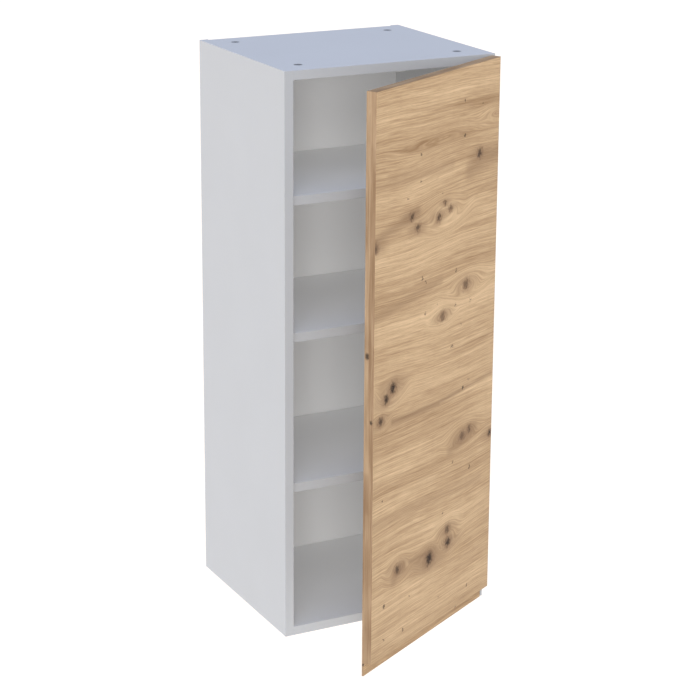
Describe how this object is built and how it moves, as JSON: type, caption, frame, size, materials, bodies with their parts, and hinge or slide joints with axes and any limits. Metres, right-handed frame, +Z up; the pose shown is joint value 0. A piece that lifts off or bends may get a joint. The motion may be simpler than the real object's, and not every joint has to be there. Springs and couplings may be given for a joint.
{
  "type": "wall cabinet",
  "caption": "Tall narrow wall cabinet with adjustable shelves, a grey board carcass and one knotty oak-effect door on concealed cup hinges, with a milled finger grip.",
  "frame": {"origin": "on the wall, at the middle of the wall rail's line of two screws", "axes": "+X to the right along the front, +Y back into the wall, +Z up"},
  "size_m": [0.401, 0.5616, 1.005],
  "materials": {
    "grey_board": "light grey melamine facing with a fine pearl texture",
    "grey_edge_band": "light grey edge band",
    "back_board": "light grey lacquered fibreboard",
    "oak_decor": "knotty oak decor, grain across, matt",
    "oak_edge_band": "oak decor edge band",
    "clear_rubber": "soft clear dome",
    "beech": "fluted beech",
    "white_plastic": "moulded, matt",
    "zinc_casting": "die-cast zinc, dull",
    "zinc_plated_steel": "bright zinc plating",
    "nickel_plated_steel": "nickel plating, satin"
  },
  "bodies": {
    "carcass": {"left_side": "grey_board", "right_side": "grey_board", "top_panel": "grey_board", "bottom_panel": "grey_board", "back_panel": "back_board", "lower_shelf": "grey_board", "middle_shelf": "grey_board", "upper_shelf": "grey_board", "side_edge_bands": "grey_edge_band", "top_and_bottom_edge_bands": "grey_edge_band", "shelf_edge_bands": "grey_edge_band", "cam_locks": "zinc_casting", "cam_bolts": "zinc_plated_steel", "wooden_dowels": "beech", "shelf_pins": "zinc_plated_steel", "hinge_arm_low": "nickel_plated_steel", "hinge_arm_middle": "nickel_plated_steel", "hinge_arm_high": "nickel_plated_steel", "mounting_plate_low": "nickel_plated_steel", "mounting_plate_middle": "nickel_plated_steel", "mounting_plate_high": "nickel_plated_steel", "arm_pivot_pins": "nickel_plated_steel", "hinge_springs": "nickel_plated_steel", "mounting_plate_screws": "zinc_plated_steel", "hinge_adjusting_screws": "zinc_plated_steel", "hanger_body_left": "zinc_plated_steel", "hanger_body_right": "zinc_plated_steel", "hanger_cover_left": "white_plastic", "hanger_cover_right": "white_plastic", "hanger_adjusting_screws": "zinc_plated_steel", "hanger_plugs": "white_plastic"},
    "wall_hooks": {"wall_rail": "zinc_plated_steel", "hanger_hook_left": "zinc_plated_steel", "hanger_hook_right": "zinc_plated_steel"},
    "outer_links": {"outer_link_low": "nickel_plated_steel", "outer_link_middle": "nickel_plated_steel", "outer_link_high": "nickel_plated_steel"},
    "door": {"door_board": "oak_decor", "door_free_edge_band": "oak_edge_band", "door_hinge_edge_band": "oak_edge_band", "door_top_edge_band": "oak_edge_band", "door_bumpers": "clear_rubber", "hinge_cup_low": "nickel_plated_steel", "hinge_cup_middle": "nickel_plated_steel", "hinge_cup_high": "nickel_plated_steel", "cup_outer_pivot_pins": "nickel_plated_steel", "cup_inner_pivot_pins": "nickel_plated_steel", "hinge_cup_screws": "zinc_plated_steel"},
    "inner_links": {"inner_link_low": "nickel_plated_steel", "inner_link_middle": "nickel_plated_steel", "inner_link_high": "nickel_plated_steel", "sliding_pivot_pins": "nickel_plated_steel"}
  },
  "joints": [
    {"name": "height_adjustment", "type": "slide", "parent": "wall_hooks", "child": "carcass", "axis": [0, 0, 1], "range_m": [-0.005, 0.005]},
    {"name": "outer_link_turn", "type": "hinge", "parent": "carcass", "child": "outer_links", "pos_m": [0.1713, -0.3414, 0], "axis": [0, 0, 1], "range_deg": [-33.97, 15.45]},
    {"name": "door_turn", "type": "hinge", "parent": "outer_links", "child": "door", "pos_m": [0.18444, -0.35691, 0], "axis": [0, 0, 1], "range_deg": [-45.14, 99.26]},
    {"name": "inner_link_turn", "type": "hinge", "parent": "door", "child": "inner_links", "pos_m": [0.18592, -0.36061, 0], "axis": [0, 0, 1], "range_deg": [-79.02, 35.95]}
  ],
  "couplings": [
    {"joint": "outer_link_turn", "follows": "door_turn", "ratio": -0.3421},
    {"joint": "inner_link_turn", "follows": "door_turn", "ratio": -0.79605}
  ]
}
